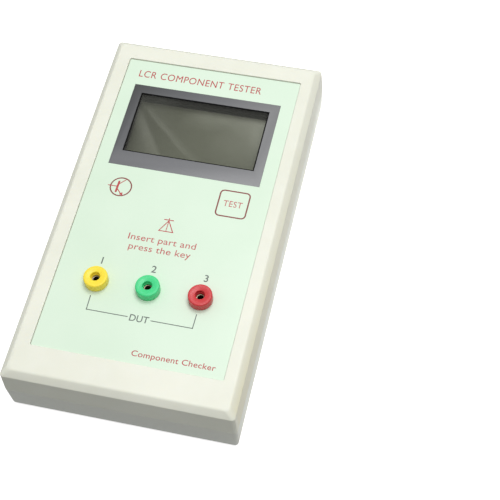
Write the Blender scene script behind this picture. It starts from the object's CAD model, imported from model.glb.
"""Looks for a hand-held component meter, built around its CAD: meshes, materials and studio.

The meter lies on its back on z = 0, its face up. x runs to the right and y away from the
viewer: the display is at the far end, the three test sockets and the battery at the near end.
Shapes are drawn in mm; materials, lights and the camera are in metres.
"""
import math

import bmesh
import bpy
import numpy as np
from mathutils import Matrix, Vector

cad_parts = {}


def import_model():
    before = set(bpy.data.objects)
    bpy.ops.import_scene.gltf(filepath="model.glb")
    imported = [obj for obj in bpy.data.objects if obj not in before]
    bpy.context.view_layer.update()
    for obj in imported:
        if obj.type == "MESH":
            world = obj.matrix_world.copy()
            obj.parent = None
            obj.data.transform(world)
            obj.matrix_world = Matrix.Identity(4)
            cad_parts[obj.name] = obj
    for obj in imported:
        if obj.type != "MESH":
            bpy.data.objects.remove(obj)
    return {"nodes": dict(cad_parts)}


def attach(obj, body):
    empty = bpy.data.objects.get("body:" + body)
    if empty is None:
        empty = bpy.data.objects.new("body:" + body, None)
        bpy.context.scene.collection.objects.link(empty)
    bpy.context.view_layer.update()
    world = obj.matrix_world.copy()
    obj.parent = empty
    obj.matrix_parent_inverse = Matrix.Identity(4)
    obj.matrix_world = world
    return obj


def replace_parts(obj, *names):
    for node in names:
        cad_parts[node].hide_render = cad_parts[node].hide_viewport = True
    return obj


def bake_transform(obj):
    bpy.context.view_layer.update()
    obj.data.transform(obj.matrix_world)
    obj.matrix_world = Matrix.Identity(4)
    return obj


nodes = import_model()["nodes"]
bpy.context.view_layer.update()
MM = 0.001

# ================================================================ dimensions shared with the CAD, mm
# Case
HALF_X, HALF_Y = 41.8, 75.6         # at the split between the shells
CASE_AREA = (-HALF_X, HALF_X, -HALF_Y, HALF_Y)
FRONT_DRAFT, BACK_DRAFT = 0.45, 0.4  # narrowing of each half width, split to outer face
CORNER = 1.3
SPLIT, GAP = 13.3, 0.05             # height of the split, and half the gap in it
RIM = 25.5                          # top face
CHAMFER = 2.15
FOOT_RADIUS = 2.4
WALL, FLOOR, CEILING = 2.3, 2.2, 22.7
BOSS_X, BOSS_Y = 34.9, 69.0         # case screws
BOSSES = [(side * BOSS_X, end * BOSS_Y) for side in (-1, 1) for end in (-1, 1)]
POST_X, POST_Y = 33.0, (54.0, -28.0)  # board screws
BOARD_BOTTOM, BOARD_TOP = 11.8, 13.4

# Film, display and key
FILM_X, FILM_Y = 0.35, 2.0          # centre of the recess for the film
FILM_WIDTH, FILM_LENGTH, FILM_DEPTH = 68.4, 128.4, 0.25
FILM_TOP = 25.0
MASK_AREA = (FILM_X - 29.05, FILM_X + 29.05, 16.3, 54.4)    # x0, x1, y0, y1
VIEW_AREA = (FILM_X - 25.5, FILM_X + 25.5, 22.9, 50.75)
KEY_X, KEY_Y = 21.6, 7.1
KEY_HALF, KEY_CORNER = 5.55, 1.5
INK_BOTTOM, INK_TOP = FILM_TOP + 0.002, FILM_TOP + 0.016

# Test sockets: number, colour, x
SOCKET_Y, SOCKET_TOP, SOCKET_PITCH = -33.65, 28.6, 19.05
SOCKETS = [(i + 2, colour, 0.6 + i * SOCKET_PITCH)
           for i, colour in ((-1, "yellow"), (0, "green"), (1, "red"))]

# Battery door and its catch
DOOR_HALF_X, DOOR_Y0, DOOR_Y1 = 26.9, -71.7, -42.8
DOOR_AXIS_Y = DOOR_Y1 - 1.0
CATCH_HALF_X, CATCH_Y1 = 6.0, -65.6


# ================================================================ node building
NOISE_MIDDLE = (0.3, 0.7)           # range in which nearly all noise values lie


class Nodes:
    """Short ways to add shader nodes to a tree."""

    def __init__(self, tree):
        self.tree = tree

    def new(self, kind, **props):
        node = self.tree.nodes.new("ShaderNode" + kind)
        for name, value in props.items():
            setattr(node, name, value)
        return node

    def feed(self, socket, value):
        """Links a socket to an output, or stores a number, vector or colour in it."""
        if hasattr(value, "links"):
            self.tree.links.new(value, socket)
        elif isinstance(value, tuple):
            socket.default_value = (*value, 1.0)[:len(socket.default_value)]
        else:
            socket.default_value = value

    def fill(self, node, inputs):
        for name, value in inputs.items():
            self.feed(node.inputs[name.replace("_", " ")], value)
        return node

    def use(self, kind, **inputs):
        """Adds a node, fills the named inputs and gives its first output."""
        return self.fill(self.new(kind), inputs).outputs[0]

    def mix(self, amount, first, second):
        node = self.new("Mix", data_type="RGBA")
        for i, value in ((0, amount), (6, first), (7, second)):
            self.feed(node.inputs[i], value)
        return node.outputs[2]

    def mix_shader(self, amount, first, second):
        node = self.new("MixShader")
        for socket, value in zip(node.inputs, (amount, first, second)):
            self.feed(socket, value)
        return node.outputs[0]

    def math(self, operation, first, second=None):
        node = self.new("Math", operation=operation)
        self.feed(node.inputs[0], first)
        if second is not None:
            self.feed(node.inputs[1], second)
        return node.outputs[0]

    def times(self, value, *factors):
        for factor in factors:
            value = self.math("MULTIPLY", value, factor)
        return value

    def plus(self, first, second):
        return self.math("ADD", first, second)

    def minus(self, first, second):
        return self.math("SUBTRACT", first, second)

    def invert(self, value):
        return self.minus(1.0, value)

    def largest(self, first, second):
        return self.math("MAXIMUM", first, second)

    def above(self, value, limit):
        return self.math("GREATER_THAN", value, limit)

    def below(self, value, limit):
        return self.math("LESS_THAN", value, limit)

    def distance(self, value, middle):
        return self.math("ABSOLUTE", self.minus(value, middle))

    def cell(self, value, pitch):
        """Place inside a repeating cell, from 0 to 1."""
        return self.math("FRACT", self.times(value, 1.0 / pitch))

    def span(self, value, over, to=(0.0, 1.0)):
        """Maps one range to another, clamped."""
        return self.use("MapRange", From_Min=over[0], From_Max=over[1], To_Min=to[0],
                        To_Max=to[1], Value=value)

    def vary(self, noise, low, high):
        """Spreads a noise between two colours or two numbers."""
        if isinstance(low, tuple):
            return self.mix(self.span(noise, NOISE_MIDDLE), low, high)
        return self.span(noise, NOISE_MIDDLE, (low, high))


class Mat(Nodes):
    """A material; textures lie in the object's own space, in metres."""

    def __init__(self, name):
        self.data = bpy.data.materials.new(name)
        self.data.use_nodes = True
        super().__init__(self.data.node_tree)
        self.shader = self.tree.nodes["Principled BSDF"]
        self.place = self.new("TexCoord").outputs["Object"]

    def noise(self, scale, detail=3.0, rough=0.5, place=None):
        return self.use("TexNoise", Scale=scale, Detail=detail, Roughness=rough,
                        Vector=place or self.place)

    def axes(self):
        return self.fill(self.new("SeparateXYZ"), {"Vector": self.place}).outputs

    def bump(self, height, distance, strength=1.0, prior=None):
        before = {"Normal": prior} if prior else {}
        normal = self.use("Bump", Distance=distance, Strength=strength, Height=height, **before)
        self.set(Normal=normal)
        return normal

    def set(self, **values):
        self.fill(self.shader, values)

    def surface(self, shader):
        self.feed(self.tree.nodes["Material Output"].inputs["Surface"], shader)


def shade(color, factor):
    return tuple(max(0.0, min(1.0, channel * factor)) for channel in color)


# ================================================================ materials
def moulded(name, color, rough, vary, grain=2600.0, depth=6e-6, subsurface=0.0, specular=0.5):
    """Moulded plastic and the like: slow tone drift, fine surface grain, uneven gloss."""
    mat = Mat(name)
    slow = mat.noise(scale=70.0, rough=0.55)
    fine = mat.noise(scale=grain, detail=2.0, rough=0.6)
    mat.set(Base_Color=mat.vary(slow, shade(color, 1 - vary), shade(color, 1 + vary)),
            Roughness=mat.vary(fine, rough - 0.06, rough + 0.06), Specular_IOR_Level=specular)
    if subsurface:
        mat.set(Subsurface_Weight=subsurface, Subsurface_Scale=0.001,
                Subsurface_Radius=(1.0, 0.8, 0.5))
    mat.bump(fine, distance=depth)
    return mat.data


def socket_plastic(colour, color, vary):
    return moulded(f"{colour}_socket_plastic", color, rough=0.38, vary=vary, depth=3e-6,
                   subsurface=0.12)


def metal(name, color, rough, stretch=12.0, tarnish=(0.35, 0.30, 0.22), amount=0.25):
    """Plated metal with fine marks and a little tarnish."""
    mat = Mat(name)
    place = mat.use("Mapping", Vector=mat.place, Scale=(1.0, 1.0, stretch))
    lines = mat.noise(scale=900.0, rough=0.6, place=place)
    patch = mat.noise(scale=260.0, detail=4.0, rough=0.6)
    mat.set(Base_Color=mat.mix(mat.span(patch, (0.5, 0.78), to=(0.0, amount)), color, tarnish),
            Metallic=1.0, Roughness=mat.vary(lines, rough - 0.07, rough + 0.1))
    mat.bump(lines, distance=3e-6)
    return mat.data


def case_plastic():
    mat = Mat("ivory_case_plastic")
    slow = mat.noise(scale=38.0, rough=0.55)
    blot = mat.noise(scale=150.0, detail=4.0, rough=0.6)
    fine = mat.noise(scale=2300.0, rough=0.65)
    base = mat.vary(slow, (0.752, 0.765, 0.664), (0.800, 0.812, 0.711))
    base = mat.mix(mat.span(blot, (0.45, 0.8), to=(0.0, 0.30)), base, (0.812, 0.826, 0.752))
    x, y, z = mat.axes()
    # the front half has yellowed on its right side, most near the socket end;
    # the back half is a little whiter
    split = 0.0132
    aged = mat.times(mat.span(x, (0.0385, 0.0414)),
                     mat.span(y, (0.055, -0.066), to=(0.15, 1.0)),
                     mat.span(y, (-0.0752, -0.0715)), mat.above(z, split))
    base = mat.mix(aged, base, (0.758, 0.735, 0.560))
    base = mat.mix(mat.times(mat.below(z, split), 0.7), base, (0.775, 0.790, 0.725))
    # handling grime gathers in the corners of the form
    occlusion = mat.new("AmbientOcclusion", samples=8)
    mat.fill(occlusion, {"Distance": 0.0016})
    dirt = mat.span(occlusion.outputs["AO"], (0.25, 0.95), to=(0.50, 0.0))
    # the right and near edges of the film's recess are wiped clean
    wiped = mat.times(mat.largest(mat.above(x, 0.0345), mat.below(y, -0.0620)),
                      mat.above(z, 0.0245))
    base = mat.mix(mat.times(dirt, mat.invert(wiped)), base, (0.42, 0.41, 0.34))
    mat.set(Base_Color=base, Roughness=mat.span(fine, (0.25, 0.75), to=(0.36, 0.50)),
            Specular_IOR_Level=0.48, Subsurface_Weight=0.06, Subsurface_Scale=0.0012,
            Subsurface_Radius=(1.0, 0.85, 0.6))
    mat.bump(fine, distance=9e-6, strength=0.8)
    return mat.data


def printed_film():
    mat = Mat("mint_printed_film")
    slow = mat.noise(scale=24.0, detail=2.0)
    cloud = mat.noise(scale=95.0, detail=4.0, rough=0.6)
    fine = mat.noise(scale=5200.0, detail=2.0)
    base = mat.vary(slow, (0.645, 0.795, 0.640), (0.685, 0.830, 0.685))
    base = mat.mix(mat.span(cloud, (0.4, 0.8), to=(0.0, 0.35)), base, (0.705, 0.830, 0.690))
    mat.set(Base_Color=base, Roughness=mat.vary(fine, 0.36, 0.48), Specular_IOR_Level=0.5)
    wave = mat.bump(cloud, distance=2.2e-5, strength=0.5)
    mat.bump(fine, distance=2e-6, strength=0.8, prior=wave)
    return mat.data


def mask_print():
    mat = Mat("grey_mask_print")
    slow = mat.noise(scale=40.0)
    fine = mat.noise(scale=4200.0, detail=2.0)
    base = mat.vary(slow, (0.083, 0.087, 0.096), (0.096, 0.101, 0.111))
    # the print is thinner towards the far right and near edge, heavier at the far left
    x, y, _ = mat.axes()
    warp = mat.times(mat.span(x, (-0.034, 0.034), to=(-1.0, 1.0)),
                     mat.span(y, (0.012, 0.052)))
    base = mat.mix(mat.span(x, (0.010, 0.032), to=(0.0, 0.35)), base, (0.200, 0.202, 0.208))
    base = mat.mix(mat.largest(mat.times(warp, -1.0), 0.0), base, (0.012, 0.013, 0.015))
    base = mat.mix(mat.times(mat.largest(warp, 0.0), 0.85), base, (0.185, 0.187, 0.193))
    edge = MASK_AREA[2] * MM
    base = mat.mix(mat.span(y, (edge + 0.009, edge + 0.003), to=(0.0, 0.5)), base,
                   (0.150, 0.154, 0.165))
    mat.set(Base_Color=base, Roughness=mat.vary(fine, 0.40, 0.50), Specular_IOR_Level=1.0)
    mat.bump(fine, distance=2e-6, strength=0.7)
    return mat.data


def ink(name, color):
    mat = Mat(name)
    speck = mat.noise(scale=3000.0, rough=0.7)
    base = mat.mix(mat.span(speck, (0.35, 0.7)), shade(color, 0.88), shade(color, 1.12))
    mat.set(Base_Color=base, Roughness=mat.vary(speck, 0.38, 0.5))
    mat.bump(speck, distance=1.5e-6, strength=0.6)
    return mat.data


def window_acrylic():
    """Clear acrylic: see-through, Fresnel gloss, with faint curved wipe marks on the face."""
    mat = Mat("clear_window_acrylic")
    clear = mat.use("BsdfTransparent", Color=(0.93, 0.94, 0.92))
    gloss = mat.use("BsdfGlossy", Roughness=0.06)
    haze = mat.use("BsdfDiffuse", Color=(0.80, 0.82, 0.72))
    fresnel = mat.use("Fresnel", IOR=1.49)
    sheen = mat.times(fresnel, mat.invert(mat.new("NewGeometry").outputs["Backfacing"]), 0.7)
    x, y, _ = mat.axes()
    sway = mat.vary(mat.noise(scale=55.0, detail=2.0), -0.45, 0.45)

    def streak(across, at, width_below, width_above):
        """Soft ridge where the distance along `across` is `at`; widths differ either side, mm."""
        place = mat.plus(mat.times(x, across[0] / MM), mat.times(y, across[1] / MM))
        place = mat.minus(mat.plus(place, sway), at)
        rising = mat.math("DIVIDE", mat.largest(place, 0.0), width_above)
        falling = mat.math("DIVIDE", mat.math("MINIMUM", place, 0.0), width_below)
        away = mat.plus(rising, falling)
        return mat.math("EXPONENT", mat.times(away, away, -1.0))

    # two diagonal wipe marks, bent and broken up by noise
    cloud = mat.noise(scale=70.0, rough=0.6)
    fade = mat.times(mat.span(x, (-0.024, 0.008), to=(1.0, 0.35)),
                     mat.span(y, (0.046, 0.036), to=(0.45, 1.0)))
    thin = streak(across=(0.656, 0.755), at=19.0, width_below=0.55, width_above=1.9)
    broad = streak(across=(0.83, 0.557), at=3.6, width_below=3.6, width_above=1.0)
    smear = mat.plus(mat.times(thin, fade), mat.times(broad, 1.05))
    smear = mat.times(smear, mat.vary(cloud, 0.35, 1.0))
    # a thin greasy bloom towards the far right, and a patch in the far left corner
    bloom = mat.largest(
        mat.times(mat.span(x, (0.004, 0.022)), mat.span(y, (0.024, 0.040))),
        mat.times(mat.span(x, (-0.008, 0.010)), mat.span(y, (0.037, 0.043))))
    bloom = mat.times(bloom, mat.span(y, (0.0475, 0.0450)))
    patch = mat.times(mat.span(x, (-0.008, -0.018)), mat.span(y, (0.036, 0.044)))
    bloom = mat.times(mat.plus(bloom, mat.times(patch, 0.22)),
                      mat.span(cloud, (0.35, 0.65), to=(0.5, 1.1)))
    smear = mat.plus(smear, mat.times(bloom, 1.15))
    dust = mat.span(mat.noise(scale=1900.0, rough=0.7), (0.68, 0.78), to=(0.0, 0.05))
    # share of haze: marks, dust and an even remainder
    amount = mat.plus(mat.times(smear, 0.056), mat.plus(dust, 0.014))
    face = mat.mix_shader(sheen, mat.mix_shader(amount, clear, haze), gloss)
    # shadows and diffuse light pass straight through
    path = mat.new("LightPath").outputs
    passing = mat.largest(path["Is Shadow Ray"], path["Is Diffuse Ray"])
    mat.surface(mat.mix_shader(passing, face, clear))
    return mat.data


def display_glass():
    """Reflective display: olive grey, with the faint lattice of its unlit picture cells."""
    mat = Mat("olive_display_glass")
    x, y, _ = mat.axes()
    slow = mat.noise(scale=30.0, detail=2.0)
    base = mat.vary(slow, (0.106, 0.107, 0.082), (0.124, 0.126, 0.096))
    base = mat.mix(mat.span(x, (0.006, 0.026), to=(0.0, 0.45)), base, (0.180, 0.182, 0.150))
    dim = mat.times(mat.span(x, (-0.025, 0.000), to=(0.55, 0.0)),
                    mat.span(y, (0.020, 0.036), to=(0.15, 1.0)))
    base = mat.mix(dim, base, (0.05, 0.05, 0.04))
    pitch, line_share = 0.00042, 0.10
    lattice = mat.largest(*(mat.below(mat.cell(axis, pitch), line_share) for axis in (x, y)))
    base = mat.mix(mat.times(lattice, 0.12), base, (0.10, 0.105, 0.075))
    mat.set(Base_Color=base, Roughness=0.34, Specular_IOR_Level=0.22)
    return mat.data


def lacquered_board():
    """Green lacquered board: copper tracks under the lacquer, and vias."""
    mat = Mat("green_lacquered_board")
    x, y, _ = mat.axes()

    def stripe(axis, pitch, half_share):
        return mat.below(mat.distance(mat.cell(axis, pitch), 0.5), half_share)

    # tracks run one way or the other, by area
    lengthwise = mat.above(mat.noise(scale=34.0, detail=0.0), 0.50)
    tracks = mat.largest(
        mat.times(stripe(x, pitch=0.00254, half_share=0.10), lengthwise),
        mat.times(stripe(y, pitch=0.00254, half_share=0.10), mat.invert(lengthwise)))
    fine = mat.noise(scale=3000.0, detail=2.0)
    weave = mat.noise(scale=900.0)
    base = mat.vary(weave, (0.010, 0.150, 0.055), (0.014, 0.190, 0.070))
    base = mat.mix(mat.times(tracks, 0.75), base, (0.035, 0.30, 0.10))
    via_strength = 1.0
    via = mat.times(*(stripe(axis, pitch=0.00762, half_share=0.07) for axis in (x, y)),
                    via_strength)
    base = mat.mix(via, base, (0.62, 0.60, 0.52))
    mat.set(Base_Color=base, Metallic=mat.times(via, 0.9), Roughness=mat.vary(fine, 0.26, 0.36))
    mat.bump(tracks, distance=1.6e-5, strength=0.6)
    return mat.data


def resistor_lacquer(number, colors):
    """Blue lacquered body with four painted bands and a tolerance band along y."""
    mat = Mat(f"resistor_lacquer_{number}")
    y = mat.axes()[1]
    slow = mat.noise(scale=900.0)
    base = mat.vary(slow, (0.10, 0.34, 0.58), (0.14, 0.42, 0.66))
    # bands: centre and half width in mm, colour
    bands = [(-12.0 + 1.1 * i, 0.28, color) for i, color in enumerate(colors)]
    for centre, half, color in bands + [(-7.6, 0.30, (0.45, 0.10, 0.02))]:
        base = mat.mix(mat.below(mat.distance(y, centre * MM), half * MM), base, color)
    # the legs are tinned wire, beyond the ends of the body
    legs = mat.above(mat.distance(y, -10.0 * MM), 3.24 * MM)
    base = mat.mix(legs, base, (0.62, 0.62, 0.60))
    mat.set(Base_Color=base, Metallic=legs, Roughness=mat.vary(slow, 0.25, 0.38))
    mat.bump(slow, distance=8e-6, strength=0.6)
    return mat.data


def capacitor_sleeve():
    """Dark sleeve with a pale stripe on its right and a bare metal lower end."""
    mat = Mat("capacitor_sleeve_dark")
    x, _, z = mat.axes()
    slow = mat.noise(scale=500.0)
    base = mat.vary(slow, (0.012, 0.012, 0.022), (0.022, 0.022, 0.036))
    base = mat.mix(mat.above(x, 28.6 * MM), base, (0.55, 0.56, 0.58))
    end = mat.below(z, 3.405 * MM)
    base = mat.mix(end, base, (0.70, 0.70, 0.70))
    mat.set(Base_Color=base, Metallic=end, Roughness=mat.vary(slow, 0.28, 0.4))
    mat.bump(slow, distance=8e-6, strength=0.5)
    return mat.data


def battery_sleeve():
    """Slate sleeve, with a pale grey field at the terminal end and a thin red line."""
    mat = Mat("battery_can_sleeve")
    x = mat.axes()[0]
    fine = mat.noise(scale=1500.0)
    slow = mat.noise(scale=120.0, detail=2.0)
    base = mat.vary(slow, (0.040, 0.055, 0.080), (0.055, 0.072, 0.100))
    base = mat.mix(mat.below(x, -3.5 * MM), base, (0.52, 0.54, 0.56))
    line = mat.below(mat.distance(x, -2.9 * MM), 0.45 * MM)
    base = mat.mix(line, base, (0.50, 0.045, 0.04))
    mat.set(Base_Color=base, Metallic=0.55, Roughness=mat.vary(fine, 0.26, 0.38))
    mat.bump(fine, distance=3e-6, strength=0.6)
    return mat.data


def foam():
    mat = Mat("closed_cell_foam")
    cells = mat.use("TexVoronoi", Scale=1500.0, Vector=mat.place)
    mat.set(Base_Color=mat.mix(cells, (0.018, 0.018, 0.02), (0.06, 0.06, 0.064)), Roughness=0.95)
    mat.bump(cells, distance=1.2e-4, strength=0.9)
    return mat.data


MATS = {
    "case": case_plastic(),
    "film": printed_film(),
    "mask": mask_print(),
    "mask_line": moulded("black_mask_edge_print", (0.008, 0.008, 0.008), rough=0.85, vary=0.2,
                         specular=0.05),
    "lens": window_acrylic(),
    "lcd": display_glass(),
    "ink_red": ink("red_ink", (0.47, 0.050, 0.056)),
    "ink_red_dark": ink("dark_red_ink", (0.235, 0.048, 0.042)),
    "ink_red_light": ink("pale_red_ink", (0.50, 0.100, 0.098)),
    "ink_grey": ink("grey_ink", (0.138, 0.165, 0.148)),
    "black_steel": moulded("black_painted_steel", (0.014, 0.014, 0.013), rough=0.62, vary=0.25,
                           grain=1600.0, specular=0.16),
    "yellow": socket_plastic("yellow", (0.925, 0.73, 0.042), vary=0.03),
    "green": socket_plastic("green", (0.052, 0.66, 0.245), vary=0.04),
    "red": socket_plastic("red", (0.58, 0.034, 0.040), vary=0.04),
    "nickel": metal("nickel_plated_brass", (0.30, 0.25, 0.17), rough=0.42, stretch=10.0),
    "steel": metal("bright_plated_steel", (0.74, 0.74, 0.73), rough=0.20, amount=0.12),
    "zinc": metal("zinc_plated_steel", (0.60, 0.61, 0.60), rough=0.30,
                  tarnish=(0.50, 0.45, 0.30), amount=0.3),
    "board": lacquered_board(),
    "black_plastic": moulded("black_moulded_plastic", (0.018, 0.018, 0.019), rough=0.48,
                             vary=0.2),
    "white_plastic": moulded("white_moulded_plastic", (0.78, 0.78, 0.75), rough=0.40, vary=0.03),
    "blue_plastic": moulded("blue_moulded_plastic", (0.025, 0.105, 0.46), rough=0.36, vary=0.08),
    "battery": battery_sleeve(),
    "clip": moulded("black_clip_vinyl", (0.016, 0.016, 0.017), rough=0.62, vary=0.2,
                    grain=1100.0, depth=1.4e-5),
    "wire_red": moulded("red_wire_insulation", (0.60, 0.020, 0.020), rough=0.36, vary=0.06),
    "wire_black": moulded("black_wire_insulation", (0.017, 0.017, 0.018), rough=0.38, vary=0.2),
    "foam": foam(),
    "capacitor": capacitor_sleeve(),
}


# ================================================================ shapes, drawn in mm
def grow(area, margin):
    """An (x0, x1, y0, y1) area made larger on every side."""
    x0, x1, y0, y1 = area
    return x0 - margin, x1 + margin, y0 - margin, y1 + margin


def ring(half_x, half_y, z, radius, steps=12, at=(0.0, 0.0)):
    """Points of a rounded rectangle, each corner in a number of steps."""
    points = []
    for side, end, start in ((1, 1, 0), (-1, 1, 90), (-1, -1, 180), (1, -1, 270)):
        for i in range(steps + 1):
            angle = math.radians(start + 90.0 * i / steps)
            points.append((at[0] + side * (half_x - radius) + radius * math.cos(angle),
                           at[1] + end * (half_y - radius) + radius * math.sin(angle), z))
    return points


def skin(shape, loops):
    """Quads between each closed loop of vertices and the next."""
    count = len(loops[0])
    for low, high in zip(loops, loops[1:]):
        for i in range(count):
            j = (i + 1) % count
            shape.faces.new((low[i], low[j], high[j], high[i]))


def capped(shape, loops):
    """Closed body through loops of points."""
    loops = [[shape.verts.new(point) for point in loop] for loop in loops]
    skin(shape, loops)
    shape.faces.new(loops[0][::-1])
    shape.faces.new(loops[-1])
    return shape


def loft(rings, shape=None, at=(0.0, 0.0), steps=12):
    """Closed body through rounded rectangles, bottom to top: half x, half y, z, corner radius."""
    return capped(shape or bmesh.new(), [ring(*one, steps, at) for one in rings])


def soft_box(x0, x1, y0, y1, z0, z1, corner, edge, corner_steps=6, shape=None, edge_steps=3):
    """Box with upright corners of radius corner, top and bottom edges rounded by edge."""
    half_x, half_y = (x1 - x0) / 2, (y1 - y0) / 2
    levels = [(0.0, z0), (0.0, z1)]     # inset, z
    if edge:
        turns = [math.pi / 2 * i / edge_steps for i in range(edge_steps + 1)]
        levels = [(edge * (1 - math.sin(t)), z0 + edge * (1 - math.cos(t))) for t in turns]
        levels += [(edge * (1 - math.cos(t)), z1 - edge + edge * math.sin(t)) for t in turns]
    rings = [(half_x - inset, half_y - inset, z, max(corner - inset, 0.02))
             for inset, z in levels]
    return loft(rings, shape, ((x0 + x1) / 2, (y0 + y1) / 2), corner_steps)


def plain_box(x0, x1, y0, y1, z0, z1, shape=None):
    shape = shape or bmesh.new()
    made = bmesh.ops.create_cube(shape, size=1.0)["verts"]
    bmesh.ops.scale(shape, vec=(x1 - x0, y1 - y0, z1 - z0), verts=made)
    bmesh.ops.translate(shape, vec=((x0 + x1) / 2, (y0 + y1) / 2, (z0 + z1) / 2), verts=made)
    return shape


def spin(profile, x, y, segments, shape=None):
    """(radius, z) points turned about an upright axis; joined end to start if off the axis."""
    shape = shape or bmesh.new()
    loops = []
    for radius, z in profile:
        if radius < 1e-6:
            loops.append([shape.verts.new((0, 0, z))])
        else:
            angles = [2 * math.pi * i / segments for i in range(segments)]
            loops.append([shape.verts.new((radius * math.cos(t), radius * math.sin(t), z))
                          for t in angles])
    pairs = list(zip(loops, loops[1:]))
    if len(loops[0]) > 1:
        pairs.append((loops[-1], loops[0]))
    for low, high in pairs:
        for i in range(segments):
            j = (i + 1) % segments
            face = [low[i % len(low)], low[j % len(low)], high[j % len(high)],
                    high[i % len(high)]]
            face = [vert for k, vert in enumerate(face) if vert not in face[:k]]
            if len(face) > 2:
                shape.faces.new(face)
    made = [vert for loop in loops for vert in loop]
    bmesh.ops.translate(shape, vec=(x, y, 0), verts=made)
    return shape


def cylinder(x, y, z0, z1, radius, segments, shape=None):
    return spin([(0, z0), (radius, z0), (radius, z1), (0, z1)], x, y, segments, shape)


def prism(shape, points, top=INK_TOP):
    """Printed polygon."""
    capped(shape, [[(x, y, z) for x, y in points] for z in (INK_BOTTOM, top)])


def band(outer, inner):
    """Printed band between two outlines with the same number of points."""
    shape = bmesh.new()
    rows = [[shape.verts.new((*point[:2], z)) for point in points]
            for points, z in ((outer, INK_BOTTOM), (outer, INK_TOP), (inner, INK_TOP),
                              (inner, INK_BOTTOM))]
    skin(shape, rows + rows[:1])
    return shape


def stroke(shape, start, end, width, top=INK_TOP):
    """Straight printed line with rounded ends."""
    start, end = Vector(start), Vector(end)
    along = (end - start).normalized()
    across = Vector((-along.y, along.x)) * width / 2
    points = []
    for tip, sign in ((end, 1), (start, -1)):
        for i in range(7):
            turn = math.pi * i / 6 - math.pi / 2
            offset = (along * sign * math.cos(turn) * (width / 2)
                      + across * sign * math.sin(turn))
            points.append((tip.x + offset.x, tip.y + offset.y))
    prism(shape, points, top)


# ================================================================ shapes to objects
CUT, JOIN = "DIFFERENCE", "UNION"


def to_mesh(shape, name):
    """Turns a shape in mm into a mesh in metres."""
    bmesh.ops.recalc_face_normals(shape, faces=shape.faces)
    bmesh.ops.scale(shape, vec=(MM, MM, MM), verts=shape.verts)
    mesh = bpy.data.meshes.new(name)
    shape.to_mesh(mesh)
    shape.free()
    return mesh


def link(name, data):
    obj = bpy.data.objects.new(name, data)
    bpy.context.scene.collection.objects.link(obj)
    return obj


def evaluated_mesh(obj):
    bpy.context.view_layer.update()
    return bpy.data.meshes.new_from_object(
        obj.evaluated_get(bpy.context.evaluated_depsgraph_get()))


def to_object(shape, name, looks):
    """Object with its origin at the world origin; looks names one or more materials."""
    bmesh.ops.remove_doubles(shape, verts=shape.verts, dist=1e-5)
    obj = link(name, to_mesh(shape, name))
    for look in looks.split():
        obj.data.materials.append(MATS[look])
    return obj


def carve(obj, steps):
    """Applies (CUT or JOIN, shape) steps in turn."""
    for operation, shape in steps:
        tool = link("tool", to_mesh(shape, "tool"))
        boolean = obj.modifiers.new("cut", "BOOLEAN")
        boolean.operation, boolean.solver, boolean.object = operation, "EXACT", tool
        made = evaluated_mesh(obj)
        obj.modifiers.remove(boolean)
        made.name = obj.name
        obj.data = made
        bpy.data.objects.remove(tool)


def soften(obj, angle, weighted=True):
    obj.data.shade_smooth()
    obj.data.set_sharp_from_angle(angle=math.radians(angle))
    if weighted:
        normals = obj.modifiers.new("normals", "WEIGHTED_NORMAL")
        normals.keep_sharp = True
        normals.weight = 100


def piece(shape, name, looks, slot, rides="case", steps=(), smooth=None, weighted=True):
    obj = to_object(shape, name, looks)
    carve(obj, steps)
    if smooth:
        soften(obj, smooth, weighted)
    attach(obj, rides)
    return obj


def stand_in(shape, cad, looks, slot, **options):
    """A piece shown in place of a CAD piece."""
    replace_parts(piece(shape, f"{cad}_finished", looks, slot, **options), cad)


# ================================================================ case shells
def shell_ring(half_x, z, inset):
    half = half_x - inset
    return half, half + HALF_Y - HALF_X, z, CORNER + inset * 0.35


def front_rings():
    low, start = SPLIT + GAP, RIM - CHAMFER
    # z, inset: softened lower edge, side, start of the chamfer, chamfer
    levels = [(low, 0.14), (low + 0.04, 0.05), (low + 0.12, 0.0),
              (16.0, 0.0), (19.0, 0.0), (22.0, 0.0),
              (start - 0.16, 0.0), (start, 0.035), (start + 0.13, 0.125),
              (start + 0.75, 0.72), (start + 1.25, 1.23)]
    # soft shoulder from the chamfer into the top face
    radius, slope, steps = 1.5, math.radians(45), 7
    tangent = radius * math.tan(math.radians(22.5))
    for i in range(1, steps + 1):
        turn = math.radians(45 - 45 * i / steps)
        inset = CHAMFER - tangent * math.cos(slope) + radius * (math.sin(slope) - math.sin(turn))
        levels.append((RIM - radius * (1 - math.cos(turn)), inset))
    return [shell_ring(HALF_X - FRONT_DRAFT * (z - SPLIT - GAP) / (RIM - SPLIT - GAP), z, inset)
            for z, inset in levels]


def screw_post(x, y, foot, radius, bevel, segments, shape):
    """Post hanging from the ceiling, flared where it meets it."""
    spin([(0, foot), (radius - bevel, foot), (radius, foot + bevel), (radius, 22.2),
          (radius + 0.4, CEILING + 0.1), (radius + 0.4, CEILING + 0.8), (0, CEILING + 0.8)],
         x, y, segments, shape)


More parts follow.
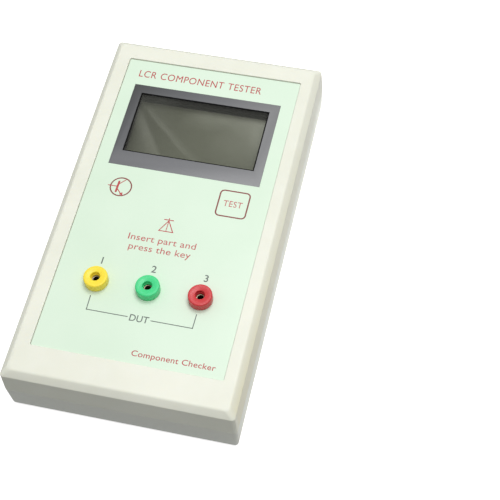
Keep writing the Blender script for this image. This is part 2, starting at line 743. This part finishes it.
def front_shell():
    half_x, half_y = HALF_X - WALL, HALF_Y - WALL
    hollow = loft([(half_x, half_y, SPLIT - 2, 1.6),
                   (half_x - 0.5, half_y - 0.5, CEILING - 0.5, 1.6),
                   (half_x - 0.75, half_y - 0.75, CEILING - 0.12, 1.4),
                   (half_x - 1.1, half_y - 1.1, CEILING, 1.1)], steps=8)
    rebate = soft_box(*grow(CASE_AREA, -1.15), SPLIT - 1, SPLIT + 1.6, 2.2, 0, 8)
    posts, holes = bmesh.new(), bmesh.new()
    for side in (-1, 1):
        for end in (-1, 1):
            x, y = side * BOSS_X, end * BOSS_Y
            screw_post(x, y, SPLIT + 0.4, 3.6, 0.15, 40, posts)
            cylinder(x, y, SPLIT - 1, CEILING - 0.6, 1.55, 28, holes)
        for y in POST_Y:
            x = side * POST_X
            screw_post(x, y, BOARD_TOP + 0.1, 2.4, 0.1, 36, posts)
            cylinder(x, y, BOARD_TOP - 1, CEILING - 1.5, 1.3, 28, holes)
    for _, _, x in SOCKETS:
        cylinder(x, SOCKET_Y, CEILING - 1, RIM + 1, 3.2, 48, holes)
    plain_box(*grow(VIEW_AREA, 2), CEILING - 1, RIM + 1, holes)
    key_area = grow((KEY_X, KEY_X, KEY_Y, KEY_Y), 5.65)
    soft_box(*key_area, CEILING - 1, RIM + 1, 1.8, 0, 8, holes)
    # recess for the film, its upper edge rounded over: growth, z from the film's top, radius
    half_x, half_y = FILM_WIDTH / 2 + 0.2, FILM_LENGTH / 2 + 0.2
    recess = loft([(half_x + more, half_y + more, FILM_TOP + rise, radius)
                   for more, rise, radius in ((0, -0.35, 0.6), (0, 0.22, 0.6), (0.04, 0.35, 0.62),
                                              (0.13, 0.45, 0.66), (0.30, 0.502, 0.75),
                                              (1.2, 1.4, 1.0))], at=(FILM_X, FILM_Y), steps=8)
    seat = plain_box(*grow(MASK_AREA, 0.1), FILM_TOP - 1.35, RIM + 1)
    stand_in(loft(front_rings(), steps=14), "front_shell", "case", "case_plastic", smooth=32,
             steps=[(CUT, hollow), (CUT, rebate), (JOIN, posts), (CUT, holes), (CUT, recess),
                    (CUT, seat)])


def back_rings():
    levels = []     # z, inset
    for i in range(9):
        turn = math.radians(90 * i / 8)
        levels.append((FOOT_RADIUS * (1 - math.cos(turn)), FOOT_RADIUS * (1 - math.sin(turn))))
    top = SPLIT - GAP
    levels += [(5.0, 0.0), (8.0, 0.0), (11.0, 0.0),
               (top - 0.12, 0.0), (top - 0.04, 0.05), (top, 0.14)]
    rings = []
    for z, inset in levels:
        up = z / top
        rings.append(shell_ring((HALF_X - BACK_DRAFT) * (1 - up) + HALF_X * up, z, inset))
    return rings


def back_shell():
    half_x, half_y = HALF_X - WALL, HALF_Y - WALL
    lip = soft_box(*grow(CASE_AREA, -1.35), SPLIT - 4, SPLIT + 1.3, 2.0, 0.2, 8)
    hollow = loft([(half_x - 1.0, half_y - 1.0, FLOOR, 1.2),
                   (half_x - 0.62, half_y - 0.62, FLOOR + 0.12, 1.5),
                   (half_x - 0.48, half_y - 0.48, FLOOR + 0.5, 1.6),
                   (half_x, half_y, SPLIT + 3, 1.6)], steps=8)
    bosses, drill, through = bmesh.new(), bmesh.new(), bmesh.new()
    for x, y in BOSSES:
        spin([(0, FLOOR - 1), (4.4, FLOOR - 1), (4.4, FLOOR + 0.1), (4.1, FLOOR + 0.5),
              (4.1, SPLIT - 0.25), (3.95, SPLIT - 0.1), (0, SPLIT - 0.1)], x, y, 40, bosses)
        spin([(0, -1), (3.3, -1), (3.3, 0.0), (3.08, 0.12), (3.0, 0.35), (3.0, 9.0), (0, 9.0)],
             x, y, 40, drill)
        cylinder(x, y, 9.5, SPLIT + 3, 1.7, 28, drill)
        cylinder(x, y, 8.0, 10.5, 1.7, 28, through)
    # walls round the battery: one across, one on each side
    walls = [soft_box(-29.3, 29.3, -41.2, -39.8, FLOOR - 1, 11.0, 0.2, 0.15, 3)]
    for x in (-29.2, 27.7):
        walls.append(soft_box(x, x + 1.5, -HALF_Y + 1.4, -40.6, FLOOR - 0.9, 14.8, 0.2, 0.15, 3))
    half_x, half_y = DOOR_HALF_X + 0.3, (DOOR_Y1 - DOOR_Y0) / 2 + 0.3
    opening = loft([(half_x + 0.6, half_y + 0.6, -0.6, 0.5),
                    (half_x + 0.12, half_y + 0.12, 0.0, 0.3), (half_x, half_y, 0.15, 0.25),
                    (half_x, half_y, FLOOR + 0.5, 0.25)], at=(0.0, (DOOR_Y0 + DOOR_Y1) / 2), steps=4)
    wall_notch = plain_box(-24, -17, -43, -38, 8, 12)
    # thumb scoop in the floor beside the door's spring catch
    scoop = spin([(0, 0.8), (1.4, 0.76), (2.8, 0.62), (4.0, 0.35), (4.6, -0.1), (0, -0.1)],
                 0.0, DOOR_Y0 - 0.6, 48)
    stand_in(loft(back_rings(), steps=14), "back_shell", "case", "case_plastic", smooth=32,
             steps=[(JOIN, lip), (CUT, hollow), (JOIN, bosses), *((JOIN, wall) for wall in walls),
                    (CUT, drill), (CUT, through), (CUT, opening), (CUT, wall_notch),
                    (CUT, scoop)])


# ================================================================ battery door and its catch
def round_end(shape, y, offset, segments):
    """Rounds the edges that run along x at one end."""
    edges = [edge for edge in shape.edges
             if all(abs(vert.co.y - y) < 1e-4 for vert in edge.verts)
             and abs(edge.verts[0].co.x - edge.verts[1].co.x) > 1]
    bmesh.ops.bevel(shape, geom=edges, offset=offset, offset_type="OFFSET", segments=segments,
                    profile=0.5, affect="EDGES")


def arrow_cut():
    """Triangle that points towards +y."""
    shape = bmesh.new()
    verts = [shape.verts.new((x, y, z)) for z in (-0.5, 0.32)
             for x, y in ((-2.6, -58.2), (2.6, -58.2), (0.0, -54.2))]
    for face in ((0, 1, 2), (3, 5, 4), (0, 3, 4, 1), (1, 4, 5, 2), (2, 5, 3, 0)):
        shape.faces.new([verts[i] for i in face])
    return shape


def battery_door():
    door = plain_box(-DOOR_HALF_X, DOOR_HALF_X, DOOR_Y0, DOOR_Y1, 0.0, 2.0)
    round_end(door, DOOR_Y1, 0.98, 12)
    round_end(door, DOOR_Y0, 0.18, 3)
    hooks, fingers, grooves = bmesh.new(), bmesh.new(), bmesh.new()
    for side in (-1, 1):
        x = side * 16
        soft_box(x - 3.5, x + 3.5, DOOR_AXIS_Y - 1.0, DOOR_AXIS_Y + 0.7, 1.2, 3.5, 0.15, 0.1, 3,
                 hooks)
        soft_box(x - 3.4, x + 3.4, DOOR_AXIS_Y - 0.5, DOOR_AXIS_Y + 2.0, 2.6, 3.4, 0.15, 0.12, 3,
                 fingers)
        for y in (-66.0, -64.0, -62.0, -60.0):
            loft([(5.12, 0.52, -0.4, 0.30), (5.10, 0.50, 0.0, 0.30), (5.0, 0.38, 0.14, 0.28),
                  (4.9, 0.30, 0.5, 0.25)], grooves, (side * 17.0, y), 4)
    catch_gap = plain_box(-CATCH_HALF_X - 0.3, CATCH_HALF_X + 0.3, DOOR_Y0 - 2, CATCH_Y1 + 1.1,
                          -1, 4)
    stand_in(door, "battery_door", "case", "case_plastic", rides="battery_door", smooth=32,
             steps=[(JOIN, hooks), (JOIN, fingers), (CUT, catch_gap), (CUT, grooves),
                    (CUT, arrow_cut())])


def door_catch():
    tongue = soft_box(-CATCH_HALF_X + 1, CATCH_HALF_X - 1, DOOR_Y0 + 0.2, DOOR_Y0 + 1.4, 1.0, 3.6,
                      0.2, 0.15, 3)
    grooves = bmesh.new()
    for y in (-70.4, -69.0, -67.6):
        loft([(4.5, 0.46, -0.2, 0.2), (4.48, 0.44, 0.2, 0.2), (4.4, 0.34, 0.32, 0.2),
              (4.35, 0.26, 0.6, 0.2)], grooves, (0, y), 4)
    stand_in(soft_box(-CATCH_HALF_X, CATCH_HALF_X, DOOR_Y0 - 0.1, CATCH_Y1, 0.2, 1.9, 0.35, 0.18, 4),
             "door_catch", "case", "case_plastic", rides="door_catch", smooth=32,
             steps=[(JOIN, tongue), (CUT, grooves)])


# ================================================================ film, key and display mask
def overlay_film():
    """The film was laid a little towards the right and near walls of its recess."""
    half_x, half_y = FILM_WIDTH / 2, FILM_LENGTH / 2
    film = loft([(half_x + 0.06, half_y + 0.06, FILM_TOP - FILM_DEPTH, 0.5),
                 (half_x + 0.06, half_y + 0.06, FILM_TOP - 0.04, 0.5),
                 (half_x + 0.045, half_y + 0.045, FILM_TOP, 0.48)],
                at=(FILM_X + 0.06, FILM_Y - 0.06), steps=6)
    low, high = FILM_TOP - 2, FILM_TOP + 2
    openings = bmesh.new()
    for _, _, x in SOCKETS:
        cylinder(x, SOCKET_Y, low, high, 3.3, 48, openings)
    plain_box(*grow(MASK_AREA, 0.05), low, high, openings)
    key_area = grow((KEY_X, KEY_X, KEY_Y, KEY_Y), KEY_HALF)
    soft_box(*key_area, low, high, KEY_CORNER, 0, 10, openings)
    stand_in(film, "overlay_film", "film", "printed_film", steps=[(CUT, openings)], smooth=30,
             weighted=False)


def key_membrane():
    """The key's patch of film: its outline stays put and its middle moves with the key."""
    edge, fixed, moved = 5.545, 5.3, 4.05   # half widths; the film bends between the last two
    patch = bmesh.new()
    rims = []
    for z in (FILM_TOP, FILM_TOP - FILM_DEPTH):
        loops = [[patch.verts.new(point) for point in
                  ring(half, half, z, max(KEY_CORNER - (edge - half) * 0.45, 0.3), 8,
                       (KEY_X, KEY_Y))]
                 for half in (edge, fixed, 5.05, 4.8, 4.55, 4.3, moved, 3.6, 2.8, 1.9, 1.0)]
        skin(patch, loops)
        patch.faces.new(loops[-1])
        rims.append(loops[0])
    skin(patch, rims[::-1])
    obj = to_object(patch, "test_key_membrane", "film")
    soften(obj, 50, weighted=False)
    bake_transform(obj)
    places = np.array([vert.co for vert in obj.data.vertices]) / MM
    reach = np.maximum(np.abs(places[:, 0] - KEY_X), np.abs(places[:, 1] - KEY_Y))
    share = np.clip((fixed - reach) / (fixed - moved), 0, 1)
    share = (share * share * (3 - 2 * share)).astype(np.float32)
    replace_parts(obj, "test_key")


def display_mask():
    """Grey border printed on the window, with a thin dark line round the opening."""
    low = FILM_TOP - FILM_DEPTH

    def border(build, name, look, outer, inner, top, edge):
        build(soft_box(*outer, low, top, 0.12, edge, 3), name, look, "mask_grey", smooth=30,
              weighted=False, steps=[(CUT, plain_box(*inner, low - 1, top + 1))])

    border(stand_in, "display_mask", "mask", MASK_AREA, VIEW_AREA, top=FILM_TOP, edge=0.03)
    line_width = 0.50
    border(piece, "display_mask_edge_line", "mask_line", grow(VIEW_AREA, -0.01),
           grow(VIEW_AREA, -line_width), top=low + 0.06, edge=0.01)


# ================================================================ legend
def text_mesh(name, body, **settings):
    curve = bpy.data.curves.new(name, "FONT")
    curve.body = body
    for key, value in settings.items():
        setattr(curve, key, value)
    obj = link("text", curve)
    mesh = evaluated_mesh(obj)
    bpy.data.objects.remove(obj)
    return mesh


# height of a capital in an unscaled text
CAP_HEIGHT = max(vert.co.y for vert in text_mesh("probe", "H").vertices)


def lettering(name, body, left, right, base, cap, look, weight=0.0, gap=1.0, word_gap=1.0,
              at=(FILM_X, FILM_Y), rides="case"):
    """One printed line: capitals of height cap on a baseline, fitted between left and right.

    Places are measured from `at`. With no right end the line keeps its natural width and is
    centred on left.
    """
    mesh = text_mesh(name, body, space_character=gap, space_word=word_gap, offset=weight,
                     resolution_u=5, extrude=0.5)
    across = [vert.co.x for vert in mesh.vertices]
    low, high = min(across), max(across)
    scale_y = cap / CAP_HEIGHT
    start = at[0] + left
    if right is None:
        scale_x = scale_y
        start -= scale_y * (high - low) / 2
    else:
        scale_x = (at[0] + right - start) / (high - low)
    for vert in mesh.vertices:
        vert.co = (start + (vert.co.x - low) * scale_x, at[1] + base + vert.co.y * scale_y,
                   INK_BOTTOM if vert.co.z < 0 else INK_TOP)
    shape = bmesh.new()
    shape.from_mesh(mesh)
    piece(shape, name, look, "printed_film", rides=rides)


def legend_texts():
    lettering("legend_title", "LCR COMPONENT TESTER", -28.9, 20.2, base=56.35, cap=3.15,
              look="ink_red", gap=1.08, word_gap=1.1)
    lettering("legend_line_1", "Insert part and", -12.8, 12.4, base=-16.4, cap=2.55,
              look="ink_red_light", weight=0.002, gap=1.03)
    lettering("legend_line_2", "press the key", -11.6, 11.4, base=-20.4, cap=2.55,
              look="ink_red_light", weight=0.002, gap=1.03)
    lettering("legend_foot", "Component Checker", 1.0, 30.7, base=-61.4, cap=2.1,
              look="ink_red", weight=0.006, gap=1.04)
    for i, digit in ((-1, "1"), (0, "2"), (1, "3")):
        lettering("legend_digit_" + digit, digit, i * 19.2, None, base=-28.4, cap=2.7,
                  look="ink_grey", weight=0.012)
    lettering("legend_dut", "DUT", -3.4, 3.5, base=-48.5, cap=2.5, look="ink_grey", weight=0.010)
    lettering("legend_test", "TEST", -3.55, 3.55, base=-1.25, cap=2.5, look="ink_red_light",
              gap=1.05, at=(KEY_X, KEY_Y), rides="test_key")


def printed(shape, name, look):
    piece(shape, name, look, "printed_film")


def legend_bracket():
    """Bracket under the sockets, open for the letters in its middle."""
    bracket = bmesh.new()
    low = FILM_Y - 47.2
    for side in (-1, 1):
        corner = (FILM_X + side * 19.2, low)
        stroke(bracket, (FILM_X + side * 19.3, FILM_Y - 41.65), corner, 0.34)
        stroke(bracket, corner, (FILM_X + side * 4.25, low), 0.34)
    printed(bracket, "legend_bracket", "ink_grey")


def legend_key_outline():
    half_line = 0.27
    outer, inner = (ring(KEY_HALF + grown, KEY_HALF + grown, 0, KEY_CORNER + grown, 10,
                         (KEY_X, KEY_Y)) for grown in (half_line, -half_line))
    printed(band(outer, inner), "legend_key_outline", "ink_red_dark")


def legend_transistor():
    x, y = FILM_X - 21.4, FILM_Y + 4.7
    outer, inner = ([(x + radius * math.cos(2 * math.pi * i / 64),
                      y + radius * math.sin(2 * math.pi * i / 64)) for i in range(64)]
                    for radius in (3.95 + 0.25, 3.95 - 0.25))
    printed(band(outer, inner), "legend_symbol_ring", "ink_red_dark")
    symbol = bmesh.new()
    # start, end, width; each a little higher than the last, so that no tops coincide
    lines = (((-1.2, 2.2), (-1.35, -2.3), 0.75), ((-4.9, 0.0), (-1.4, 0.0), 0.34),
             ((-1.2, 0.9), (1.1, 3.4), 0.34), ((-1.2, -0.9), (1.1, -3.4), 0.34))
    for i, (start, end, width) in enumerate(lines, 1):
        stroke(symbol, (x + start[0], y + start[1]), (x + end[0], y + end[1]), width,
               INK_TOP + 0.001 * i)
    prism(symbol, [(x + 1.55, y - 3.75), (x + 0.15, y - 3.25), (x + 1.2, y - 2.2)],
          INK_TOP + 0.005)
    printed(symbol, "legend_symbol_transistor", "ink_red")


def legend_mark():
    """Diode-like mark above the two lines."""
    x, base = FILM_X, FILM_Y - 10.95

    def triangle(low, half, height):
        return [(x - half, low), (x + half, low), (x, low + height)]

    printed(band(triangle(base - 0.17, 2.6 + 0.30, 4.65 + 0.50),
                 triangle(base + 0.17, 2.6 - 0.30, 4.65 - 0.50)),
            "legend_mark_triangle", "ink_red")
    bar = bmesh.new()
    stroke(bar, (x - 1.7, base + 4.95), (x + 1.7, base + 4.95), 0.36, INK_TOP + 0.001)
    stroke(bar, (x, base + 0.1), (x, base + 5.7), 0.26, INK_TOP + 0.002)
    printed(bar, "legend_mark_bar", "ink_red")


# ================================================================ test sockets
def test_socket(number, colour, x):
    radius, edge = 4.35, 0.55
    profile = []
    for i in range(13):
        turn = math.radians(90 * i / 12)
        profile.append((radius - edge + edge * math.sin(turn),
                        SOCKET_TOP - edge + edge * math.cos(turn)))
    profile += [(radius, 26.2), (radius, FILM_TOP + 0.12), (radius - 0.05, FILM_TOP + 0.06),
                (radius - 0.12, FILM_TOP + 0.05), (3.0, FILM_TOP + 0.05), (3.0, 17.4),
                (2.8, 17.2), (1.9, 17.2)]
    # mouth, from inside out: radius, depth below the top
    profile += [(inner, SOCKET_TOP - depth) for inner, depth in (
        (1.9, 2.1), (1.45, 2.05), (1.45, 1.50), (1.48, 1.42), (1.53, 1.37), (1.60, 1.34),
        (1.64, 1.27), (1.66, 1.15), (1.66, 0.45), (1.69, 0.25), (1.76, 0.09), (1.88, 0.0))]
    stand_in(spin(profile, x, SOCKET_Y, 96), f"socket_{number}_{colour}_body", colour,
             f"{colour}_plastic", smooth=40)
    top = SOCKET_TOP - 2.2
    profile = [(0, 16.8), (0, 14.4), (1.1, 14.4), (1.1, 15.8), (1.75, 15.8), (1.75, top - 0.14),
               (1.72, top - 0.05), (1.6, top), (1.26, top), (1.12, top - 0.06),
               (1.05, top - 0.22), (1.05, 16.8)]
    stand_in(spin(profile, x, SOCKET_Y, 64), f"socket_{number}_contact", "nickel",
             "nickel_brass", smooth=40)


# ================================================================ screws
def screw(cad, x, y, tip, seat, head, shank, head_radius, taper, cross_width, cross_depth):
    """Self-tapping screw, head down: shank with thread ridges, pan head, cross recess.

    tip, seat and head are heights; shank and head_radius are radii.
    """
    profile = [(0, tip), (shank * 0.25, tip - 0.3)]
    z = tip - taper
    profile.append((shank - 0.22, z))
    while z > seat + 1.2:
        profile += [(shank - 0.26, z - 0.25), (shank, z - 0.5), (shank - 0.26, z - 0.75)]
        z -= 0.8
    profile += [(shank - 0.2, z - 0.05), (shank - 0.2, seat), (head_radius - 0.15, seat),
                (head_radius, seat - 0.18)]
    for i in range(6):
        narrowing = math.cos(math.radians(15 + 65 * i / 5)) / math.cos(math.radians(15))
        drop = (seat - head - 0.35) * math.sin(math.radians(15 + 75 * i / 5))
        profile.append((head_radius * narrowing, seat - 0.35 - drop))
    profile.append((0, head))
    cuts = []
    # arms of the cross: size, narrowing at depth; one is shallower so their ends don't coincide
    for size, narrowing in (((cross_width, 0.55, cross_depth * 2), (0.55, 0.7)),
                            ((0.55, cross_width, cross_depth * 2 * 0.995), (0.7, 0.55))):
        arm = bmesh.new()
        bmesh.ops.create_cube(arm, size=1.0)
        bmesh.ops.scale(arm, vec=size, verts=arm.verts)
        for vert in arm.verts:
            if vert.co.z > 0:
                vert.co.x *= narrowing[0]
                vert.co.y *= narrowing[1]
        bmesh.ops.translate(arm, vec=(x, y, head), verts=arm.verts)
        cuts.append((CUT, arm))
    stand_in(spin(profile, x, y, 40), cad, "zinc", "zinc_steel", steps=cuts, smooth=30)


def screws():
    case_size = dict(tip=20.6, seat=8.8, head=6.5, shank=1.3, head_radius=2.7, taper=2.0,
                     cross_width=3.0, cross_depth=1.3)
    board_size = dict(tip=18.9, seat=BOARD_BOTTOM - 0.15, head=10.1, shank=1.05, head_radius=2.3,
                      taper=0.8, cross_width=2.4, cross_depth=0.9)
    sides = (("left", -1), ("right", 1))
    for end, y in (("front", -BOSS_Y), ("rear", BOSS_Y)):
        for side, sign in sides:
            screw(f"case_screw_{end}_{side}", sign * BOSS_X, y, **case_size)
    for end, y in zip(("rear", "front"), POST_Y):
        for side, sign in sides:
            screw(f"board_screw_{end}_{side}", sign * POST_X, y, **board_size)


# ================================================================ display frame, chip, battery
def lcd_frame():
    area = (FILM_X - 28.9, FILM_X + 28.9, 14.0, 56.6)
    x0, x1, y0, y1 = VIEW_AREA
    stand_in(soft_box(*area, 16.95, 21.9, 0.8, 0.45, 6, edge_steps=5), "lcd_frame",
             "black_steel", "black_steel", smooth=32,
             steps=[(CUT, soft_box(*grow(area, -0.6), 16, 19.7, 0.3, 0, 4)),
                    (CUT, plain_box(x0 - 0.5, x1 - 0.1, y0 - 0.6, y1 - 0.3, 19, 23))])


def chip_and_socket():
    chip_y, chip_half_y = 29.1, 3.5
    stand_in(soft_box(-17.6, 17.6, chip_y - chip_half_y, chip_y + chip_half_y, 4.4, 7.6, 0.15, 0.25,
                      3), "microcontroller", "black_plastic steel", "black_plastic", smooth=30,
             steps=[(CUT, cylinder(-17.6, chip_y, 4, 5.0, 0.9, 24))])
    pins = bmesh.new()
    for i in range(14):
        x = -16.51 + 2.54 * i
        for side in (-1, 1):
            y = chip_y + side * chip_half_y
            plain_box(x - 0.65, x + 0.65, *sorted((y, y + side * 0.42)), 6.0, 7.55, pins)
            plain_box(x - 0.25, x + 0.25, *sorted((y + side * 0.05, y + side * 0.40)), 7.55, 8.6,
                      pins)
    piece(pins, "microcontroller_pins", "steel", "bright_steel")
    opening = soft_box(-14.5, 14.5, 27.2, 31.0, 6.5, BOARD_BOTTOM - 1.2, 0.4, 0, 4)
    stand_in(soft_box(-18.0, 18.0, 24.0, 34.2, 7.8, BOARD_BOTTOM - 0.1, 0.3, 0.15, 3),
             "chip_socket", "black_plastic", "black_plastic", steps=[(CUT, opening)], smooth=30)


def battery():
    """Can lying along x, with a rolled rim at each end."""
    x0, x1, y0, y1, z0, z1 = -19.0, 27.0, -71.8, -45.8, 4.0, 20.8
    # x, inset, corner radius
    stations = ((x0 + 0.55, 1.5, 0.9), (x0 + 0.05, 1.2, 1.0), (x0, 0.75, 1.2),
                (x0 + 0.12, 0.3, 1.5), (x0 + 0.5, 0.03, 1.6), (x0 + 1.4, 0.0, 1.6),
                (x1 - 1.4, 0.0, 1.6), (x1 - 0.5, 0.03, 1.6), (x1 - 0.12, 0.3, 1.5),
                (x1, 0.75, 1.2), (x1 - 0.05, 1.2, 1.0), (x1 - 0.45, 1.5, 0.9))
    loops = [[(x, y, z) for y, z, _ in ring((y1 - y0) / 2 - inset, (z1 - z0) / 2 - inset, 0,
                                            radius, 8, ((y0 + y1) / 2, (z0 + z1) / 2))]
             for x, inset, radius in stations]
    stand_in(capped(bmesh.new(), loops), "battery_9v", "battery", "battery_sleeve", smooth=35)


# ================================================================ CAD pieces that stay
KEPT_PIECES = {     # look: CAD pieces
    "lens": "display_lens",
    "lcd": "lcd_glass",
    "white_plastic": "lcd_backlight trimmer_rotor key_cap",
    "board": "lcd_board main_board",
    "black_plastic": "lcd_header voltage_regulator switch_body switch_stem",
    "steel": "crystal battery_terminal_positive battery_terminal_negative",
    "capacitor": "filter_capacitor_1 filter_capacitor_2",
    "blue_plastic": "trimmer_body",
    "clip": "battery_clip",
    "wire_red": "battery_lead_red",
    "wire_black": "battery_lead_black",
    "foam": "battery_foam",
    "nickel": "socket_1_nut socket_2_nut socket_3_nut",
    "yellow": "socket_1_lead",
    "green": "socket_2_lead",
    "red": "socket_3_lead",
}
BROWN, BLACK = (0.30, 0.13, 0.04), (0.02, 0.02, 0.02)
YELLOW, VIOLET = (0.85, 0.65, 0.02), (0.20, 0.05, 0.45)
BAND_COLORS = ((BROWN, BLACK, BLACK, BROWN), (YELLOW, VIOLET, BLACK, BROWN))


def dress_cad(name, material):
    """Gives a CAD piece its material and, unless it is a wire, finer edges."""
    obj = nodes[name]
    obj.data.materials.clear()
    obj.data.materials.append(material)
    obj.data.polygons.foreach_set("material_index", [0] * len(obj.data.polygons))
    weld = obj.modifiers.new("weld", "WELD")
    weld.merge_threshold = 2e-6
    if "lead" in name:
        return
    bevel = obj.modifiers.new("edges", "BEVEL")
    bevel.width = 0.00012
    bevel.segments = 2
    bevel.limit_method = "ANGLE"
    bevel.angle_limit = math.radians(40)


def kept_pieces():
    for look, names in KEPT_PIECES.items():
        for name in names.split():
            dress_cad(name, MATS[look])
    for i in range(6):
        dress_cad(f"resistor_{i + 1}", resistor_lacquer(i + 1, BAND_COLORS[i % 2]))


# ================================================================ floor, light, camera (metres)
def floor_material():
    mat = Mat("pale_floor")
    path = mat.new("LightPath").outputs
    camera_ray, diffuse_ray = path["Is Camera Ray"], path["Is Diffuse Ray"]
    x, y, _ = mat.axes()
    white = mat.vary(mat.noise(scale=300.0, detail=2.0), (0.93, 0.93, 0.93), (0.95, 0.95, 0.95))
    # the floor gives back less light in front of the object than to its right
    to_side = mat.span(x, (0.030, 0.060))
    along = mat.span(y, (-0.078, -0.068))
    card = mat.mix(to_side, (0.27, 0.275, 0.28), (0.34, 0.34, 0.33))
    mat.set(Base_Color=mat.mix(camera_ray, card, white), Roughness=0.9, Specular_IOR_Level=0.0)
    # lit strips close beside and in front of the object, as on a light table
    beside = mat.times(mat.span(x, (0.042, 0.063), to=(1.0, 0.0)), mat.above(x, 0.0405), along,
                       mat.span(y, (-0.075, 0.075), to=(1.35, 3.3)))
    in_front = mat.below(y, -0.0745)
    ahead = mat.times(mat.span(y, (-0.098, -0.0755), to=(0.0, 0.27)), in_front)
    strips = mat.times(mat.plus(beside, ahead), diffuse_ray)
    glow = mat.plus(mat.times(path["Is Glossy Ray"], to_side, along), strips)
    tint = mat.mix(mat.times(in_front, diffuse_ray), (1.0, 1.0, 1.0), (0.93, 0.97, 1.10))
    mat.set(Emission_Color=tint, Emission_Strength=mat.plus(mat.times(camera_ray, 0.60), glow))
    # light reaches the face that rests on the floor, so the back can be looked at from below
    inside = mat.times(mat.below(mat.math("ABSOLUTE", x), 0.0388),
                       mat.below(mat.math("ABSOLUTE", y), 0.0726))
    under = mat.times(mat.largest(inside, mat.below(path["Ray Length"], 0.0006)),
                      mat.invert(camera_ray))
    hidden = mat.largest(mat.new("NewGeometry").outputs["Backfacing"], under)
    mat.surface(mat.mix_shader(hidden, mat.shader.outputs[0], mat.use("BsdfTransparent")))
    return mat.data


def studio_floor():
    half, z = 4.0, -0.00005
    mesh = bpy.data.meshes.new("studio_floor")
    mesh.from_pydata([(-half, -half, z), (half, -half, z), (half, half, z), (-half, half, z)],
                     [], [(0, 1, 2, 3)])
    floor = link("studio_floor", mesh)
    mesh.materials.append(floor_material())


def studio_world():
    """Pale surround, a little brighter to the left and far side, and bright to the camera."""
    ambient, slope_x, slope_y, seen = 0.50, -0.09, 0.13, 1.1
    world = bpy.data.worlds.new("studio")
    bpy.context.scene.world = world
    world.use_nodes = True
    net = Nodes(world.node_tree)
    direction = net.new("SeparateXYZ")
    net.feed(direction.inputs[0], net.new("TexCoord").outputs["Generated"])
    x, y, _ = direction.outputs
    level = net.plus(ambient, net.plus(net.times(x, slope_x), net.times(y, slope_y)))
    pick = net.new("Mix", data_type="FLOAT")
    camera_ray = net.new("LightPath").outputs["Is Camera Ray"]
    for i, value in ((0, camera_ray), (2, level), (3, seen)):
        net.feed(pick.inputs[i], value)
    net.fill(world.node_tree.nodes["Background"],
             {"Strength": pick.outputs[0], "Color": (1.0, 0.995, 0.985)})


def softbox(name, at, size, power):
    """Rectangular light aimed at the origin."""
    light = bpy.data.lights.new(name, "AREA")
    light.shape = "RECTANGLE"
    light.size, light.size_y = size
    light.energy = power
    obj = bpy.data.objects.new(name, light)
    obj.location = at
    obj.rotation_mode = "QUATERNION"
    obj.rotation_quaternion = (-Vector(at)).to_track_quat("-Z", "Y")
    bpy.context.scene.collection.objects.link(obj)


def photo_camera():
    place = Vector((99.315, -224.465, 398.945)) * MM
    forward = Vector((-0.15426, 0.49049, -0.85768)).normalized()
    up = Vector((-0.16667, 0.84272, 0.51191))
    up = (up - forward * up.dot(forward)).normalized()
    right = forward.cross(up)
    lens = bpy.data.cameras.new("photo_camera")
    lens.lens, lens.sensor_width, lens.sensor_fit = 87.89, 36.0, "AUTO"
    lens.clip_start, lens.clip_end = 0.01, 20.0
    camera = link("photo_camera", lens)
    rows = [(right[i], up[i], -forward[i], place[i]) for i in range(3)]
    camera.matrix_world = Matrix((*rows, (0, 0, 0, 1)))
    bpy.context.scene.camera = camera
    view = bpy.context.scene.view_settings
    view.view_transform = "Standard"
    view.look = "None"
    view.exposure = 0.0
    view.gamma = 1.0


# ================================================================ build
front_shell()
back_shell()
battery_door()
door_catch()
overlay_film()
key_membrane()
display_mask()
legend_texts()
legend_bracket()
legend_key_outline()
legend_transistor()
legend_mark()
for number, colour, x in SOCKETS:
    test_socket(number, colour, x)
screws()
lcd_frame()
chip_and_socket()
battery()
kept_pieces()

studio_floor()
studio_world()
softbox("key_softbox", at=(0.065, 0.25, 0.76), size=(0.33, 0.27), power=2.22)
softbox("overhead_softbox", at=(0.30, -0.16, 1.10), size=(0.6, 0.6), power=4.15)
photo_camera()
